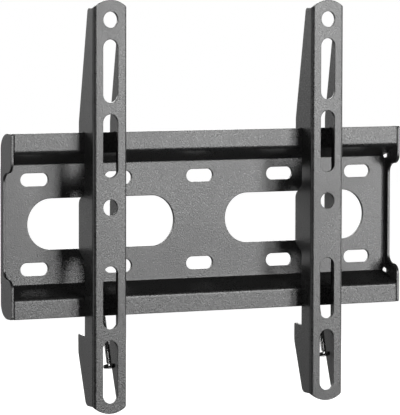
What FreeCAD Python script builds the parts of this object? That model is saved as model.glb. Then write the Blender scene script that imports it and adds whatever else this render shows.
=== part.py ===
import FreeCAD, Part
import math
import os

# Fixed television wall bracket: a folded wall plate, two channel arms that hook over it, two lock screws.
# Millimetres. +Z is up, the wall is the plane Y = 0, the front faces -Y, X = 0 and Z = 0 are the plate's middle.

os.makedirs("parts", exist_ok=True)
V = FreeCAD.Vector

# Wall plate, one folded sheet
plate_width = 240.0
plate_height = 98.6
plate_sheet = 1.5
plate_fold = 1.0
rail_depth = 15.0
lip_height = 10.7
web_height = 65.0
corner_tie = 1.5
cheek_fold = 0.4
end_gap = 0.5
wing_gap = 1.8
wing_corner = 8.5
wing_front_corner = 1.0
waist_depth = 4.6
waist_half = 28.3
relief_radius = 1.15

# Slots for wall screws, in two rows, and the two large openings
wall_slot_length = 16.6
wall_slot_height = 7.0
wall_slot_pitch = 50.0
wall_slot_columns = 5
wall_slot_row = 24.0
opening_length = 88.5
opening_height = 27.5
opening_centre = 60.0

# Arms, each one folded channel
arm_centre = 66.8
arm_width = 20.0
arm_sheet = 1.4
arm_fold = 0.4
arm_face = 26.0
arm_middle = 9.5
arm_end_rise = 4.2
flange_end_step = 0.2

# Holes and slots in an arm's face, from its middle hole, and what is left beyond the last ones
screen_pitch = 100.0
screen_hole = 8.6
arm_slot_width = 8.8
arm_slot_length = 33.7
arm_slot_pitch = 39.8
upper_slots_centre = 52.8
lower_slots_centre = -68.1
arm_top_margin = 10.5
arm_bottom_margin = 22.5

# Side outline of an arm's flanges
rail_clearance = 0.2
seat_clearance = 0.1
hook_clearance = 0.6
hook_back = 7.9
hook_length = 7.9
hook_shoulder = 5.5
hook_corner = 1.8
seat_corner = 0.2
flange_top_depth = 18.5
flange_top_corner = 2.0
shoulder_corner = 3.0
bump_back = 7.8
bump_top = 15.1
bump_bottom = -16.7
bump_slope = 5.0
bump_corner = 4.0
heel_back = 7.15
heel_drop = 9.8
heel_slope = 0.7
heel_height = 9.9
heel_corner = 0.8
toe_depth = 16.6
toe_corner = 4.0
taper_corner = 12.0

# Lock screw and the tab that it is threaded through
screw_tilt = 16.0
screw_offset = 4.6
screw_depth = 10.8
screw_radius = 1.5
thread_clearance = 0.05
screw_length = 30.0
screw_backed_out = 15.9
screw_point = 0.5
head_radius = 3.3
head_height = 2.3
head_corner = 0.8
recess_span = 3.4
recess_width = 0.8
recess_depth = 1.2
tab_drop = 1.3
tab_width = 7.2
tab_margin = 3.4
tab_root = 4.0
tab_relief = 1.0

plate_half = plate_height / 2
web_half = web_height / 2
lip_bottom = plate_half - lip_height
rail_half = plate_width / 2 - plate_sheet - end_gap
tie_half = web_half - corner_tie
lip_back = rail_depth - plate_sheet
arm_top = arm_middle + screen_pitch + arm_top_margin
arm_bottom = arm_middle + lower_slots_centre - arm_slot_pitch / 2 - arm_bottom_margin
arm_front = -arm_face
flange_inner = arm_width / 2 - arm_sheet
heel_top = -plate_half - heel_drop
tab_level = heel_top - tab_drop


def in_yz(y, z):
    return V(0, y, z)


def in_xy(x, y):
    return V(x, y, 0)


def in_xz(x, z):
    return V(x, 0, z)


def rounded_face(corners):
    """A flat face from a closed list of (point, radius), with an arc at each corner that has a radius."""
    count = len(corners)
    ends = []
    for i, (point, radius) in enumerate(corners):
        if radius <= 0:
            ends.append((point, None, point))
            continue
        back = (corners[i - 1][0] - point).normalize()
        ahead = (corners[(i + 1) % count][0] - point).normalize()
        half = back.getAngle(ahead) / 2
        reach = radius / math.tan(half)
        bisector = (back + ahead).normalize()
        middle = point + bisector * (radius / math.sin(half) - radius)
        ends.append((point + back * reach, middle, point + ahead * reach))
    edges = []
    for i, (start, middle, end) in enumerate(ends):
        if middle is not None:
            edges.append(Part.Arc(start, middle, end).toShape())
        following = ends[(i + 1) % count][0]
        if end.distanceToPoint(following) > 1e-6:
            edges.append(Part.LineSegment(end, following).toShape())
    return Part.Face(Part.Wire(Part.__sortEdges__(edges)))


def folded_sheet(path, normal, sheet, fold):
    """The section of a folded sheet: path is one face of it, and the sheet lies to the left of the path."""
    steps = [(b - a).normalize() for a, b in zip(path, path[1:])]
    lefts = [normal.cross(step) for step in steps]
    near, far = [(path[0], 0)], [(path[0] + lefts[0] * sheet, 0)]
    for i in range(1, len(path) - 1):
        before, after = lefts[i - 1], lefts[i]
        mitre = (before + after) * (sheet / (1 + before.dot(after)))
        turns_left = steps[i - 1].cross(steps[i]).dot(normal) > 0
        near.append((path[i], fold + sheet if turns_left else fold))
        far.append((path[i] + mitre, fold if turns_left else fold + sheet))
    near.append((path[-1], 0))
    far.append((path[-1] + lefts[-1] * sheet, 0))
    return rounded_face(near + far[::-1])


def slab(x, y, z):
    """A block between pairs of limits."""
    return Part.makeBox(x[1] - x[0], y[1] - y[0], z[1] - z[0], V(x[0], y[0], z[0]))


def along_y(x, z, radius, y):
    return Part.makeCylinder(radius, y[1] - y[0], V(x, y[0], z), V(0, 1, 0))


def level_slot(x, z, length, height, y):
    """A cutter for a slot with round ends that runs along X."""
    reach = (length - height) / 2
    middle = slab((x - reach, x + reach), y, (z - height / 2, z + height / 2))
    return middle.fuse([along_y(x - reach, z, height / 2, y), along_y(x + reach, z, height / 2, y)])


def upright_slot(x, z, length, width, y):
    """The same along Z."""
    reach = (length - width) / 2
    middle = slab((x - width / 2, x + width / 2), y, (z - reach, z + reach))
    return middle.fuse([along_y(x, z - reach, width / 2, y), along_y(x, z + reach, width / 2, y)])


def mirrored_z(corners):
    """A closed outline in Y and Z from its upper half, front to back."""
    lower = [(in_yz(point.y, -point.z), radius) for point, radius in reversed(corners)]
    return corners + lower


def rails():
    """Web, sloped walls and upright lips, as one section along X."""
    upper = [in_yz(-rail_depth, plate_half), in_yz(-rail_depth, lip_bottom), in_yz(-plate_sheet, web_half)]
    lower = [in_yz(point.y, -point.z) for point in reversed(upper)]
    section = folded_sheet(upper + lower, V(1, 0, 0), plate_sheet, plate_fold)
    section.translate(V(-rail_half, 0, 0))
    return section.extrude(V(2 * rail_half, 0, 0))


def cheek_outline():
    """Side view of an end cheek: full height and depth at both rails, and a narrow waist between them."""
    shoulder = (rail_depth - waist_depth) / 2
    upper = [
        (in_yz(-waist_depth, waist_half), shoulder),
        (in_yz(-rail_depth, waist_half), shoulder),
        (in_yz(-rail_depth, plate_half), wing_front_corner),
        (in_yz(-wing_gap, plate_half), wing_corner),
        (in_yz(-wing_gap, tie_half), 0),
        (in_yz(0, tie_half), 0),
    ]
    return rounded_face(mirrored_z(upper))


def cheeks():
    """Both end cheeks, bent forward from the web's ends, with the bend only as high as the web."""
    inner = plate_width / 2 - plate_sheet
    path = [in_xy(-inner, -rail_depth), in_xy(-inner, -plate_sheet), in_xy(inner, -plate_sheet),
            in_xy(inner, -rail_depth)]
    section = folded_sheet(path, V(0, 0, 1), plate_sheet, cheek_fold)
    section.translate(V(0, 0, -tie_half))
    blank = section.extrude(V(0, 0, 2 * tie_half))
    middle = inner - 2 * cheek_fold
    keep = slab((-middle, middle), (-plate_sheet, 0), (-tie_half, tie_half))
    for side in (-1, 1):
        outer = side * plate_width / 2
        wall = sorted((outer, outer - side * plate_sheet))
        for height in ((tie_half, plate_half), (-plate_half, -tie_half)):
            blank = blank.fuse(slab(wall, (-rail_depth, -wing_gap), height))
        outline = cheek_outline()
        outline.translate(V(min(side * middle, outer), 0, 0))
        keep = keep.fuse(outline.extrude(V(plate_width / 2 - middle, 0, 0)))
    return blank.common(keep)


def wall_plate():
    through = (-plate_sheet - 1, 1)
    cutters = []
    for column in range(wall_slot_columns):
        x = (column - (wall_slot_columns - 1) / 2) * wall_slot_pitch
        for z in (-wall_slot_row, wall_slot_row):
            cutters.append(level_slot(x, z, wall_slot_length, wall_slot_height, through))
    for x in (-opening_centre, opening_centre):
        cutters.append(level_slot(x, 0, opening_length, opening_height, through))
    relief_x = plate_width / 2 - plate_sheet
    for x in (-relief_x, relief_x):
        for z in (-web_half, web_half):
            cutters.append(along_y(x, z, relief_radius, (-plate_sheet - plate_fold - 1, 1)))
    return rails().fuse(cheeks()).cut(cutters).removeSplitter()


def flange_outline():
    """Side view of an arm's flanges: hook at the top, bump between the rails, heel and taper at the bottom."""
    front_wall = -rail_depth - rail_clearance
    leg_front = -lip_back + hook_clearance
    seat = plate_half + seat_clearance
    leg_end = plate_half - hook_length
    flange_top = arm_top - arm_end_rise - flange_end_step
    flange_bottom = arm_bottom + arm_end_rise - flange_end_step
    half_slope = bump_slope / 2
    outline = [
        (arm_front, flange_top, 0),
        (-flange_top_depth, flange_top, flange_top_corner),
        (-hook_back, plate_half + hook_shoulder, shoulder_corner),
        (-hook_back, leg_end, hook_corner),
        (leg_front, leg_end, hook_corner),
        (leg_front, seat, seat_corner),
        (front_wall, seat, seat_corner),
        (front_wall, bump_top + half_slope, bump_corner),
        (-bump_back, bump_top - half_slope, bump_corner),
        (-bump_back, bump_bottom + half_slope, bump_corner),
        (front_wall, bump_bottom - half_slope, bump_corner),
        (front_wall, heel_top - heel_slope, heel_corner),
        (-heel_back, heel_top, heel_corner),
        (-heel_back, heel_top - heel_height, taper_corner),
        (-toe_depth, flange_bottom, toe_corner),
        (arm_front, flange_bottom, 0),
    ]
    return rounded_face([(in_yz(y, z), radius) for y, z, radius in outline])


def face_outline():
    """Front view of an arm: straight sides and a shallow arc at each end."""
    half = arm_width / 2
    top_corner, bottom_corner = arm_top - arm_end_rise, arm_bottom + arm_end_rise
    edges = [
        Part.Arc(in_xz(-half, top_corner), in_xz(0, arm_top), in_xz(half, top_corner)).toShape(),
        Part.LineSegment(in_xz(half, top_corner), in_xz(half, bottom_corner)).toShape(),
        Part.Arc(in_xz(half, bottom_corner), in_xz(0, arm_bottom), in_xz(-half, bottom_corner)).toShape(),
        Part.LineSegment(in_xz(-half, bottom_corner), in_xz(-half, top_corner)).toShape(),
    ]
    return Part.Face(Part.Wire(edges))


def on_screw_axis(shape):
    """Moves a shape from its own frame, with the screw's axis as +Z through the tab's middle, to an arm."""
    shape.rotate(V(0, 0, 0), V(1, 0, 0), -screw_tilt)
    shape.translate(V(0, -screw_depth, tab_level))
    return shape


def screw_tab():
    """The tab folded in from the right flange at its heel, square to the screw."""
    half = arm_sheet / 2
    free_end = screw_offset - tab_margin
    outer = arm_width / 2
    outline = [
        (in_xz(free_end, -half), 0),
        (in_xz(flange_inner, -half), arm_fold),
        (in_xz(flange_inner, -tab_root), 0),
        (in_xz(outer, -tab_root), 0),
        (in_xz(outer, half), arm_fold + arm_sheet),
        (in_xz(free_end, half), 0),
    ]
    section = rounded_face(outline)
    section.translate(V(0, -tab_width / 2, 0))
    return on_screw_axis(section.extrude(V(0, tab_width, 0)))


def tab_clearance():
    """What is cut from the right flange before the tab joins it: the room over the fold, and a relief notch."""
    across = (flange_inner - arm_sheet / 2, arm_width / 2 + 1)
    fold_start = -arm_sheet / 2 - arm_fold
    above = slab(across, (-tab_width / 2, tab_width), (fold_start, tab_width))
    notch = slab(across, (-tab_width / 2 - tab_relief, -tab_width / 2), (fold_start - tab_relief, tab_width))
    return on_screw_axis(above.fuse(notch))


def arm():
    """One arm, centred on X = 0."""
    half = arm_width / 2
    path = [in_xy(-half, 0), in_xy(-half, arm_front), in_xy(half, arm_front), in_xy(half, 0)]
    section = folded_sheet(path, V(0, 0, 1), arm_sheet, arm_fold)
    section.translate(V(0, 0, arm_bottom))
    channel = section.extrude(V(0, 0, arm_top - arm_bottom))

    flanges = flange_outline()
    flanges.translate(V(-half, 0, 0))
    face_back = arm_front + arm_sheet + arm_fold
    keep = flanges.extrude(V(arm_width, 0, 0)).fuse(slab((-half, half), (arm_front, face_back),
                                                         (arm_bottom, arm_top)))
    front = face_outline()
    front.translate(V(0, arm_front, 0))
    body = channel.common(keep).common(front.extrude(V(0, arm_face, 0)))

    body = body.cut(tab_clearance()).fuse(screw_tab())
    through = (arm_front - 1, arm_front + arm_sheet + 1)
    cutters = [on_screw_axis(Part.makeCylinder(screw_radius + thread_clearance, tab_width,
                                               V(screw_offset, 0, -tab_width / 2)))]
    for z in (arm_middle, arm_middle + screen_pitch):
        cutters.append(along_y(0, z, screen_hole / 2, through))
    for centre in (upper_slots_centre, lower_slots_centre):
        for step in (-0.5, 0.5):
            z = arm_middle + centre + step * arm_slot_pitch
            cutters.append(upright_slot(0, z, arm_slot_length, arm_slot_width, through))
    return body.cut(cutters).removeSplitter()


def lock_screw():
    """One lock screw in an arm centred on X = 0: pan head down, cross recess, shank through the tab."""
    under_head = -screw_backed_out
    tip = under_head + screw_length
    bottom = under_head - head_height
    outline = [
        (in_xz(0, bottom), 0),
        (in_xz(head_radius, bottom), head_corner),
        (in_xz(head_radius, under_head), 0),
        (in_xz(screw_radius, under_head), 0),
        (in_xz(screw_radius, tip - screw_point), 0),
        (in_xz(screw_radius - screw_point, tip), 0),
        (in_xz(0, tip), 0),
    ]
    body = rounded_face(outline).revolve(V(0, 0, 0), V(0, 0, 1), 360)
    reach, wide = recess_span / 2, recess_width / 2
    deep = (bottom, bottom + recess_depth)
    recess = slab((-reach, reach), (-wide, wide), deep).fuse(slab((-wide, wide), (-reach, reach), deep))
    body = body.cut(recess)
    body.translate(V(screw_offset, 0, 0))
    return on_screw_axis(body)


def placed(shape, x):
    shape.translate(V(x, 0, 0))
    return shape


pieces = {"wall_plate": wall_plate()}
for side, x in (("left", -arm_centre), ("right", arm_centre)):
    pieces[side + "_arm"] = placed(arm(), x)
    pieces[side + "_lock_screw"] = placed(lock_screw(), x)

for name, shape in pieces.items():
    box = shape.BoundBox
    print(name, "valid", shape.isValid(), "solids", len(shape.Solids), "volume %.1f" % shape.Volume,
          "x %.2f %.2f y %.2f %.2f z %.2f %.2f" % (box.XMin, box.XMax, box.YMin, box.YMax, box.ZMin, box.ZMax))
    shape.exportStep("parts/%s.step" % name)
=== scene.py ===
"""Looks of a fixed television wall bracket: powder coat, threaded lock screws, floor, lamps and camera.

Metres, in the frame of the CAD bodies: +Z up, the wall is the plane Y = 0, and the front faces -Y.
"""

import math

import bmesh
import bpy
from mathutils import Matrix, Vector


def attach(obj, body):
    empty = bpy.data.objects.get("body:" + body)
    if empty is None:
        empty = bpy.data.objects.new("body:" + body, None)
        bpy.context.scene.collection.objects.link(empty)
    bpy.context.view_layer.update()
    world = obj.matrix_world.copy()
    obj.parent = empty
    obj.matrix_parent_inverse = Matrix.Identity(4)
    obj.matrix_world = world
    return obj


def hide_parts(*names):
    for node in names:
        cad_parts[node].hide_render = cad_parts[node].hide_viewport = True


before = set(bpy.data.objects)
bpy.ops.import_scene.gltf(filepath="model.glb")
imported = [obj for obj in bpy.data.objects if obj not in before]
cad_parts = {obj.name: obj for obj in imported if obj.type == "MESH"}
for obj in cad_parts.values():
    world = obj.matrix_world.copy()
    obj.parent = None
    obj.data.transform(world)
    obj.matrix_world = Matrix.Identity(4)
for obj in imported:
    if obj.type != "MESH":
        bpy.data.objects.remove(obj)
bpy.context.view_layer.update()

# Lock screws as the CAD places them: X of each, a point on the axis, and how far the axis leans back.
# Heights of the screw's parts are measured along its axis from that point.
SCREWS = {"left": -0.0622, "right": 0.0714}
SCREW_Y, SCREW_Z = -0.0108, -0.0604
SCREW_TILT = math.radians(16.0)
SCREW_RADIUS = 0.0015
SCREW_TIP = 0.0141
UNDER_HEAD = -0.0159
HEAD_RADIUS = 0.0033
HEAD_HEIGHT = 0.0023
HEAD_END = UNDER_HEAD - HEAD_HEIGHT

# What the screws' meshes add to the CAD's plain solids
SCREW_SIDES = 28
THREAD_PITCH = 0.0005
THREAD_DEPTH = 0.00028
THREAD_START = UNDER_HEAD + 0.0004
THREAD_END = SCREW_TIP - 0.0003
THREAD_SHAPE = ((0.0, 0.0), (0.2, 0.0), (0.5, 1.0), (0.7, 1.0))  # shares of a turn and of the depth
ROOT_RADIUS = SCREW_RADIUS - THREAD_DEPTH
TIP_CHAMFER = 0.0003
NECK_FILLET = ((0.0003, 0.0), (0.0001, 0.0001), (0.0, 0.0003))  # out from the root, up from the head
HEAD_CORNER = 0.0009
HEAD_CROWN = 0.00018
HEAD_CHAMFER = 0.00015
HEAD_STEPS = 6
RECESS_REACH, RECESS_HALF_WIDTH, RECESS_DEPTH = 0.0017, 0.0004, 0.0013
RECESS_MOUTH, RECESS_FLOOR = 1.12, 0.5  # scales of the cross at the cutter's two ends
CUTTER_OVERLAP = 0.0003
WELD_DISTANCE = 1e-7
SHARP_ANGLE = math.radians(38)

# Noise scales, per metre
GRAIN_SCALE, FINE_SCALE, CLOUD_SCALE = 1300, 3600, 22
MOTTLE_SCALE = 900
FLOOR_SCALE = 3

# Ramps: two pairs of noise level and grey or roughness
COAT_GREY = ((0.36, 0.007), (0.68, 0.022))
COAT_ROUGHNESS = ((0.36, 0.25), (0.66, 0.38))
SCREW_GREY = ((0.3, 0.34), (0.7, 0.46))
SCREW_ROUGHNESS = ((0.3, 0.18), (0.7, 0.28))
FLOOR_GREY = ((0.0, 0.86), (1.0, 0.9))

# Bumps: strength and distance
GRAIN_BUMP = (0.56, 0.00016)
FINE_BUMP = (0.5, 0.00003)
MOTTLE_BUMP = (0.2, 0.00002)

# Powder coat: share of the cloud in its roughness, and its duller edges
CLOUD_SHARE = 0.3
COAT_SPECULAR = 0.62
EDGE_RADIUS = 0.0006
EDGE_SAMPLES = 6
EDGE_COSINES = (0.99, 0.85)  # of the turn at which the dulling starts and is full
EDGE_DULLING = 0.3

# The floor adds to its own shade a white that only the camera sees
FLOOR_LEVEL = -0.26
FLOOR_HALF_SIZE = 4.0
FLOOR_ROUGHNESS = 0.9
FLOOR_WHITE = 1.25
FLOOR_WHITE_SHARE = 0.8

# Surroundings that only reflections see: dark, with pale parts. Each part has a direction, the cosines of
# the angles from it at which the part has faded out and is full, and a strength
DARK = 0.01
PALE = (
    ((-0.25, 0.93, 0.27), 0.80, 0.98, 1.0),
    ((0.69, 0.69, -0.24), 0.85, 0.98, 1.4),
    ((0.98, 0.0, -0.17), 0.80, 0.97, 1.0),
    ((-0.98, 0.0, -0.17), 0.86, 0.98, 0.8),
)
FILL = 0.04
CAMERA_WHITE = 1.0
WHITE = (1, 1, 1, 1)

# Lamps: azimuth to the right of straight ahead of the plate and elevation in degrees, distance,
# width and height, watts, and the point that they face
MIDDLE = (0, 0, 0)
LEFT_ARM_TOP = (-0.07, 0, 0.08)
SOFTBOXES = {
    "key_left": (19, 3, 1.6, (0.3, 0.78), 7.6, MIDDLE),
    "key_middle": (29, 10, 1.6, (0.3, 0.4), 3.8, MIDDLE),
    "key_right": (39, 2, 1.6, (0.3, 0.78), 9.0, MIDDLE),
    "front_strip": (-31, 20, 1.6, (0.2, 0.7), 4.2, MIDDLE),
    "right_side": (98, 8, 1.7, (0.5, 0.9), 3, MIDDLE),
    "left_side": (-84, 8, 1.7, (0.5, 0.9), 2.5, MIDDLE),
    "behind": (165, 14, 1.7, (1.0, 1.2), 22, MIDDLE),
    "above_behind": (180, 50, 1.7, (1.0, 0.6), 8, MIDDLE),
    "back_left": (-145, 22, 0.8, (0.4, 0.25), 4, LEFT_ARM_TOP),
}

# Camera, fitted to the photograph
CAMERA_AZIMUTH = math.radians(28.1)
CAMERA_PITCH = math.radians(3.784)
CAMERA_ROLL = math.radians(0.136)
CAMERA_DISTANCE = 1.8415
FOCAL_PIXELS = 3355.3
IMAGE_WIDTH = 400
IMAGE_CENTRE = (200.0, 207.5)
ORIGIN_PIXEL = (198.3, 218.7)
SENSOR_WIDTH = 36.0


def add_node(tree, kind, inputs=None, **settings):
    """A new node. Its inputs, by name or number, take a plain value or another node's output."""
    node = tree.nodes.new("ShaderNode" + kind)
    for name, value in settings.items():
        setattr(node, name, value)
    for socket, value in (inputs or {}).items():
        if isinstance(value, bpy.types.NodeSocket):
            tree.links.new(value, node.inputs[socket])
        else:
            node.inputs[socket].default_value = value
    return node


def new_material(name):
    """An empty material: the material, its node tree, its shader and its output node."""
    material = bpy.data.materials.new(name)
    material.use_nodes = True
    tree = material.node_tree
    tree.nodes.clear()
    shader = add_node(tree, "BsdfPrincipled")
    output = add_node(tree, "OutputMaterial", {"Surface": shader.outputs["BSDF"]})
    return material, tree, shader, output


def ramp(tree, level, low, high):
    """A grey that goes from the low pair's to the high pair's as the level does."""
    node = add_node(tree, "ValToRGB", {"Fac": level})
    for element, (position, grey) in zip(node.color_ramp.elements, (low, high)):
        element.position = position
        element.color = (grey, grey, grey, 1)
    return node.outputs["Color"]


def noise(tree, scale, detail, roughness=0.5):
    """Noise that is fixed to the piece that it is on."""
    place = add_node(tree, "TexCoord").outputs["Object"]
    inputs = {"Vector": place, "Scale": scale, "Detail": detail, "Roughness": roughness}
    return add_node(tree, "TexNoise", inputs).outputs["Fac"]


def bump(tree, height, strength, distance, inputs=None):
    """The surface's direction after a bump."""
    inputs = {"Height": height, "Strength": strength, "Distance": distance, **(inputs or {})}
    return add_node(tree, "Bump", inputs).outputs["Normal"]


def dot_product(tree, first, second):
    """The cosine of the angle between two directions."""
    return add_node(tree, "VectorMath", {0: first, 1: second}, operation="DOT_PRODUCT").outputs["Value"]


def background(tree, strength):
    """A world shader of plain white light."""
    return add_node(tree, "Background", {"Color": WHITE, "Strength": strength}).outputs["Background"]


def mix_shaders(tree, share, first, second):
    """The first shader where the share is 0, the second where it is 1."""
    return add_node(tree, "MixShader", {"Fac": share, 1: first, 2: second}).outputs["Shader"]


def powder_coat():
    """Black powder coat with a fine sandy texture, duller where it thins over an edge."""
    material, tree, shader, _ = new_material("powder_coat")
    grain = noise(tree, GRAIN_SCALE, detail=2.0, roughness=0.6)
    fine = noise(tree, FINE_SCALE, detail=1.0)
    cloud = noise(tree, CLOUD_SCALE, detail=2.0)
    tree.links.new(ramp(tree, grain, *COAT_GREY), shader.inputs["Base Color"])

    rounded = add_node(tree, "Bevel", {"Radius": EDGE_RADIUS}, samples=EDGE_SAMPLES).outputs["Normal"]
    flat = add_node(tree, "NewGeometry").outputs["Normal"]
    edge = {"Value": dot_product(tree, rounded, flat), "From Min": EDGE_COSINES[0],
            "From Max": EDGE_COSINES[1], "To Max": EDGE_DULLING}
    dulling = add_node(tree, "MapRange", edge).outputs["Result"]
    level = add_node(tree, "Mix", {"Factor": CLOUD_SHARE, "A": grain, "B": cloud}).outputs["Result"]
    roughness = add_node(tree, "Math", {0: ramp(tree, level, *COAT_ROUGHNESS), 1: dulling})
    tree.links.new(roughness.outputs[0], shader.inputs["Roughness"])

    sandy = bump(tree, grain, *GRAIN_BUMP, {"Normal": rounded})
    tree.links.new(bump(tree, fine, *FINE_BUMP, {"Normal": sandy}), shader.inputs["Normal"])
    shader.inputs["Specular IOR Level"].default_value = COAT_SPECULAR
    return material


def screw_finish():
    """Dark plating on polished steel, a little uneven."""
    material, tree, shader, _ = new_material("screw_black")
    mottle = noise(tree, MOTTLE_SCALE, detail=2.0)
    tree.links.new(ramp(tree, mottle, *SCREW_GREY), shader.inputs["Base Color"])
    tree.links.new(ramp(tree, mottle, *SCREW_ROUGHNESS), shader.inputs["Roughness"])
    tree.links.new(bump(tree, mottle, *MOTTLE_BUMP), shader.inputs["Normal"])
    shader.inputs["Metallic"].default_value = 1.0
    return material


def to_object(name, mesh):
    """Puts a bmesh into the scene as an object, and frees it."""
    data = bpy.data.meshes.new(name)
    bmesh.ops.recalc_face_normals(mesh, faces=mesh.faces)
    mesh.to_mesh(data)
    mesh.free()
    obj = bpy.data.objects.new(name, data)
    bpy.context.scene.collection.objects.link(obj)
    return obj


def around(radius, angle, height):
    """A point at an angle about the Z axis."""
    return radius * math.cos(angle), radius * math.sin(angle), height


def turned_rings(mesh, profile):
    """Rings of vertices from a list of (radius, height), joined by faces in the order of the list."""
    angles = [2 * math.pi * i / SCREW_SIDES for i in range(SCREW_SIDES)]
    rings = []
    for radius, height in profile:
        rings.append([mesh.verts.new(around(radius, angle, height)) for angle in angles])
    for low, high in zip(rings, rings[1:]):
        for i in range(SCREW_SIDES):
            following = (i + 1) % SCREW_SIDES
            mesh.faces.new((low[i], low[following], high[following], high[i]))
    return rings


def thread(mesh):
    """A helical thread up the shank: root, flank, crest and flank in each turn, fading at both ends.

    Each column of vertices starts a turn low and ends a turn high, and what is outside is held at the end.
    """
    turns = math.ceil((THREAD_END - THREAD_START) / THREAD_PITCH) + 2
    columns = []
    for i in range(SCREW_SIDES):
        angle = 2 * math.pi * i / SCREW_SIDES
        column = []
        for turn in range(turns):
            for share, rise in THREAD_SHAPE:
                height = THREAD_START + (turn - 1 + share + i / SCREW_SIDES) * THREAD_PITCH
                height = min(max(height, THREAD_START), THREAD_END)
                below, above = height - THREAD_START, THREAD_END - height
                fade = min(1, below / THREAD_PITCH, above / THREAD_PITCH)
                radius = ROOT_RADIUS + THREAD_DEPTH * rise * fade
                column.append(mesh.verts.new(around(radius, angle, height)))
        columns.append(column)
    for i, column in enumerate(columns):
        seam = i == SCREW_SIDES - 1
        ahead = columns[0][len(THREAD_SHAPE):] if seam else columns[i + 1]
        for j in range(len(ahead) - 1):
            mesh.faces.new((column[j], ahead[j], ahead[j + 1], column[j + 1]))


def recess_cutter():
    """A tapered cross that cuts the recess into the head's end."""
    reach, half = RECESS_REACH, RECESS_HALF_WIDTH
    cross = [
        (reach, -half), (reach, half), (half, half), (half, reach), (-half, reach), (-half, half),
        (-reach, half), (-reach, -half), (-half, -half), (-half, -reach), (half, -reach), (half, -half),
    ]
    ends = ((RECESS_MOUTH, HEAD_END - CUTTER_OVERLAP), (RECESS_FLOOR, HEAD_END + RECESS_DEPTH))
    mesh = bmesh.new()
    outer, inner = ([mesh.verts.new((x * scale, y * scale, z)) for x, y in cross] for scale, z in ends)
    for i in range(len(cross)):
        following = (i + 1) % len(cross)
        mesh.faces.new((outer[i], outer[following], inner[following], inner[i]))
    mesh.faces.new(outer[::-1])
    mesh.faces.new(inner)
    return to_object("recess_cutter", mesh)


def head_profile():
    """(Radius, height) from the middle of the head's end to the thread: crown, corner, rim and neck."""
    flat = HEAD_RADIUS - HEAD_CORNER
    profile = [(flat * i / HEAD_STEPS, HEAD_END + HEAD_CROWN * (i / HEAD_STEPS) ** 2)
               for i in range(1, HEAD_STEPS)]
    for i in range(HEAD_STEPS + 1):
        turn = math.pi / 2 * i / HEAD_STEPS
        corner = HEAD_END + HEAD_CROWN + HEAD_CORNER * (1 - math.cos(turn))
        profile.append((flat + HEAD_CORNER * math.sin(turn), corner))
    profile += [(HEAD_RADIUS, UNDER_HEAD - HEAD_CHAMFER), (HEAD_RADIUS - HEAD_CHAMFER, UNDER_HEAD)]
    profile += [(ROOT_RADIUS + beyond, UNDER_HEAD + above) for beyond, above in NECK_FILLET]
    return profile + [(ROOT_RADIUS, THREAD_START)]


def screw_mesh():
    """A pan-head machine screw about its own Z axis, head down, with its thread and cross recess."""
    mesh = bmesh.new()
    rings = turned_rings(mesh, head_profile())
    mesh.faces.new(rings[0][::-1])
    thread(mesh)
    tip = turned_rings(mesh, [(ROOT_RADIUS, THREAD_END), (ROOT_RADIUS - TIP_CHAMFER, SCREW_TIP)])
    mesh.faces.new(tip[-1])
    bmesh.ops.remove_doubles(mesh, verts=mesh.verts, dist=WELD_DISTANCE)
    blank, cutter = to_object("screw_blank", mesh), recess_cutter()

    cut = blank.modifiers.new("recess", "BOOLEAN")
    cut.object = cutter
    cut.solver = "EXACT"
    data = bpy.data.meshes.new_from_object(blank.evaluated_get(bpy.context.evaluated_depsgraph_get()))
    for obj in (blank, cutter):
        bpy.data.objects.remove(obj)
    data.shade_smooth()
    data.set_sharp_from_angle(angle=SHARP_ANGLE)
    return data


def lock_screws(material):
    """Threaded screws in place of the plain CAD ones, which stay in the simulation."""
    pattern = screw_mesh()
    for side, x in SCREWS.items():
        data = pattern.copy()
        data.transform(Matrix.Translation((x, SCREW_Y, SCREW_Z)) @ Matrix.Rotation(-SCREW_TILT, 4, "X"))
        data.materials.clear()
        data.materials.append(material)
        piece = bpy.data.objects.new(side + "_threaded_screw", data)
        bpy.context.scene.collection.objects.link(piece)
        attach(piece, side + "_screw")
        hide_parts(side + "_lock_screw")


def finish_nodes(coat, plated):
    """Gives the CAD nodes their materials."""
    for name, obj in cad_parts.items():
        material = plated if name.endswith("lock_screw") else coat
        for slot in obj.material_slots:
            slot.material = material


def floor():
    """A plain pale floor below the bracket, which isn't seen in reflections."""
    size = FLOOR_HALF_SIZE
    mesh = bpy.data.meshes.new("floor")
    corners = [(-size, -size, 0), (size, -size, 0), (size, size, 0), (-size, size, 0)]
    mesh.from_pydata(corners, [], [(0, 1, 2, 3)])
    obj = bpy.data.objects.new("floor", mesh)
    obj.location.z = FLOOR_LEVEL
    bpy.context.scene.collection.objects.link(obj)

    material, tree, shader, output = new_material("floor_white")
    shader.inputs["Roughness"].default_value = FLOOR_ROUGHNESS
    shader.inputs["Specular IOR Level"].default_value = 0.0
    shade = noise(tree, FLOOR_SCALE, detail=1.0)
    tree.links.new(ramp(tree, shade, *FLOOR_GREY), shader.inputs["Base Color"])
    white = add_node(tree, "Emission", {"Color": WHITE, "Strength": FLOOR_WHITE})
    seen = add_node(tree, "LightPath").outputs["Is Camera Ray"]
    share = add_node(tree, "Math", {0: seen, 1: FLOOR_WHITE_SHARE}, operation="MULTIPLY").outputs[0]
    mixed = mix_shaders(tree, share, shader.outputs["BSDF"], white.outputs["Emission"])
    tree.links.new(mixed, output.inputs["Surface"])
    mesh.materials.append(material)
    obj.visible_glossy = False


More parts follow.
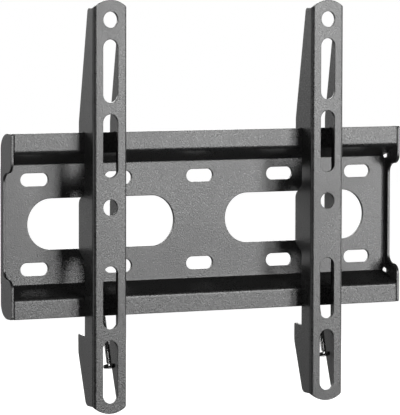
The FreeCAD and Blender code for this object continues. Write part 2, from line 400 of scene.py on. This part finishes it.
def surroundings():
    """A world that is white to the camera, dark with pale parts to reflections, else a faint fill."""
    world = bpy.data.worlds.new("studio")
    bpy.context.scene.world = world
    world.use_nodes = True
    tree = world.node_tree
    tree.nodes.clear()
    direction = add_node(tree, "TexCoord").outputs["Generated"]
    total = DARK
    for centre, faded, full, strength in PALE:
        part = {"Value": dot_product(tree, direction, centre), "From Min": faded, "From Max": full,
                "To Max": strength}
        level = add_node(tree, "MapRange", part, interpolation_type="SMOOTHSTEP").outputs["Result"]
        total = add_node(tree, "Math", {0: level, 1: total}).outputs[0]

    path = add_node(tree, "LightPath").outputs
    seen = add_node(tree, "Math", {0: path["Is Camera Ray"], 1: path["Is Transmission Ray"]},
                    operation="MAXIMUM").outputs[0]
    unseen = mix_shaders(tree, path["Is Glossy Ray"], background(tree, FILL), background(tree, total))
    whole = mix_shaders(tree, seen, unseen, background(tree, CAMERA_WHITE))
    add_node(tree, "OutputWorld", {"Surface": whole})


def softbox(name, azimuth, elevation, distance, size, watts, target):
    """An area lamp that faces its target and isn't seen by the camera."""
    azimuth, elevation = math.radians(azimuth), math.radians(elevation)
    away = Vector((math.sin(azimuth) * math.cos(elevation), -math.cos(azimuth) * math.cos(elevation),
                   math.sin(elevation)))
    lamp = bpy.data.lights.new(name, "AREA")
    lamp.shape = "RECTANGLE"
    lamp.size, lamp.size_y = size
    lamp.energy = watts
    obj = bpy.data.objects.new(name, lamp)
    obj.location = Vector(target) + away * distance
    obj.rotation_euler = (-away).to_track_quat("-Z", "Y").to_euler()
    obj.visible_camera = False
    bpy.context.scene.collection.objects.link(obj)


def camera():
    """The photograph's camera: its place follows from the pixel at which it sees the frame's origin."""
    a, p, r = CAMERA_AZIMUTH, CAMERA_PITCH, CAMERA_ROLL
    forward = Vector((math.sin(a) * math.cos(p), math.cos(a) * math.cos(p), -math.sin(p)))
    level = Vector((math.cos(a), -math.sin(a), 0))
    upright = level.cross(forward)
    right = level * math.cos(r) + upright * math.sin(r)
    up = -level * math.sin(r) + upright * math.cos(r)
    scale = CAMERA_DISTANCE / FOCAL_PIXELS
    offset_right = (ORIGIN_PIXEL[0] - IMAGE_CENTRE[0]) * scale
    offset_down = (ORIGIN_PIXEL[1] - IMAGE_CENTRE[1]) * scale
    place = -(forward * CAMERA_DISTANCE + right * offset_right - up * offset_down)
    data = bpy.data.cameras.new("camera")
    data.sensor_fit = "HORIZONTAL"
    data.sensor_width = SENSOR_WIDTH
    data.lens = SENSOR_WIDTH * FOCAL_PIXELS / IMAGE_WIDTH
    obj = bpy.data.objects.new("camera", data)
    turn = Matrix((right, up, -forward)).transposed()
    obj.matrix_world = Matrix.Translation(place) @ turn.to_4x4()
    bpy.context.scene.collection.objects.link(obj)
    bpy.context.scene.camera = obj


plating = screw_finish()
finish_nodes(powder_coat(), plating)
lock_screws(plating)
floor()
surroundings()
for lamp_name, lamp_values in SOFTBOXES.items():
    softbox(lamp_name, *lamp_values)
camera()
bpy.context.scene.view_settings.view_transform = "Standard"
